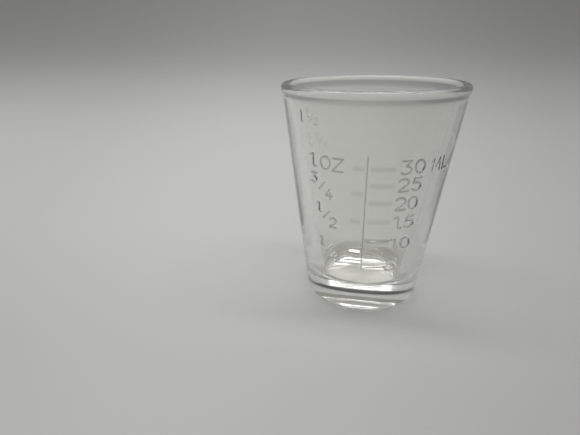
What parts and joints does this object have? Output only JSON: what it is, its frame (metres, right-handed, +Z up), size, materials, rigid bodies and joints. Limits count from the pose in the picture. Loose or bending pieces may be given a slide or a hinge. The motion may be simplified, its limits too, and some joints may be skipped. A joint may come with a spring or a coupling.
{
  "type": "measuring shot glass",
  "caption": "Clear pressed-glass measuring shot glass: tapered tumbler with a beaded rim, a heavy recessed base and a raised ounce and millilitre scale on its front.",
  "frame": {"origin": "on the axis of the glass, in the plane that its foot rests on", "axes": "+Z up along the axis of the glass, -Y out of the front where the scale is, +X to the reader's right"},
  "size_m": [0.051, 0.051, 0.0635],
  "materials": {
    "clear_glass": "clear pressed glass, fire-polished",
    "scale_relief": "clear pressed glass, raised marks with soft edges"
  },
  "bodies": {
    "root": {"glass_body": "clear_glass", "scale_line": "scale_relief", "mark_5_ml": "scale_relief", "mark_10_ml": "scale_relief", "mark_15_ml": "scale_relief", "mark_20_ml": "scale_relief", "mark_25_ml": "scale_relief", "mark_30_ml": "scale_relief", "mark_quarter_oz": "scale_relief", "mark_half_oz": "scale_relief", "mark_three_quarter_oz": "scale_relief", "mark_one_oz": "scale_relief"}
  },
  "joints": []
}
